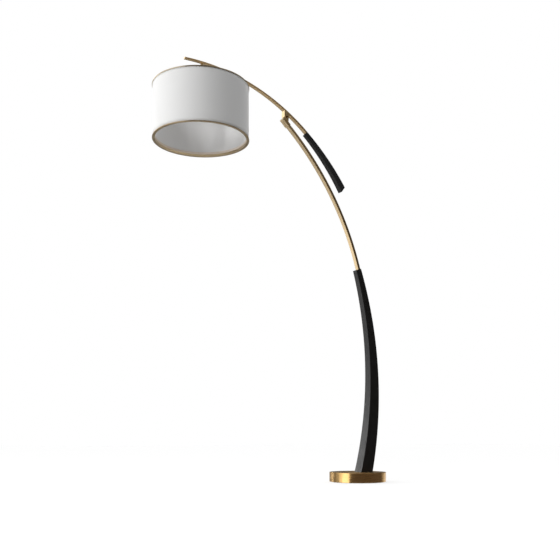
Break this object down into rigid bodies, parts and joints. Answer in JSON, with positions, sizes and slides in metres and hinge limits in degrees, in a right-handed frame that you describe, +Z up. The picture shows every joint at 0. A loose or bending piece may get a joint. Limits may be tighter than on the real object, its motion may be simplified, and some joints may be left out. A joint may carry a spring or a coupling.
{
  "type": "arc floor lamp",
  "caption": "Arc floor lamp: heavy round base, curved tapered column, slim curved bar and a counterweighted tilting arm with a hanging drum shade.",
  "frame": {"origin": "on the floor under the centre of the round base", "axes": "+Z up; the arm reaches to -X; +Y is the side away from the pictured side"},
  "size_m": [1.2866, 0.4608, 2.0283],
  "materials": {
    "brass": "brushed, aged brass",
    "iron": "rough casting",
    "steel": "zinc plated",
    "black_steel": "black oxide",
    "rubber": "matt",
    "black_metal": "matt black powder coat",
    "black_iron": "matt black powder coat",
    "black_plastic": "matt",
    "white_plastic": "satin",
    "contact_brass": "bright",
    "bulb_metal": "satin",
    "bulb_glass": "frosted",
    "wire": "brass-coloured lacquer on steel wire",
    "shade_fabric": "fine off-white weave",
    "liner": "smooth white sheet",
    "gold_rim": "gold foil on a moulded rim",
    "lead": "sheathed lead"
  },
  "bodies": {
    "stand": {"base_cover": "brass", "base_weight": "iron", "base_plate": "steel", "plate_screws": "steel", "base_pad": "rubber", "cord_bushing": "rubber", "column_shell": "black_metal", "column_foot": "steel", "column_bolts": "steel", "bolt_washers": "steel", "column_plug": "black_plastic", "bar_seat": "black_plastic", "column_screws": "black_steel", "lower_bar": "brass", "knuckle_fork": "brass", "fork_pin": "brass", "pivot_bolt": "brass", "pivot_nut": "brass", "friction_washers": "steel", "lead_column": "lead"},
    "arm": {"pivot_lug": "brass", "upper_arm": "brass", "tip_plug": "brass", "tail_weight": "black_iron", "tail_screws": "brass", "hanger_lug": "brass", "lead_arm": "lead"},
    "shade": {"stem_fork": "brass", "swivel_pin": "brass", "stem": "brass", "stem_nut": "brass", "holder_cap": "brass", "holder_skirt": "white_plastic", "holder_insert": "white_plastic", "screw_shell": "contact_brass", "centre_contact": "contact_brass", "bulb_cap": "bulb_metal", "bulb_globe": "bulb_glass", "ring_nuts": "white_plastic", "spider": "wire", "shade_drum": "shade_fabric", "shade_liner": "liner", "top_trim": "gold_rim", "bottom_trim": "gold_rim", "lead_stem": "lead"},
    "key": {"switch_key": "black_plastic"}
  },
  "joints": [
    {"name": "arm_tilt", "type": "hinge", "parent": "stand", "child": "arm", "pos_m": [-0.43293, 0, 1.81714], "axis": [0, -1, 0], "range_deg": [-5, 25]},
    {"name": "shade_swing", "type": "hinge", "parent": "arm", "child": "shade", "pos_m": [-0.90368, 0, 2.00019], "axis": [0, -1, 0], "range_deg": [-28, 10]},
    {"name": "switch_turn", "type": "hinge", "parent": "shade", "child": "key", "pos_m": [-0.90368, 0.02, 1.91319], "axis": [0, 1, 0], "continuous": true}
  ]
}
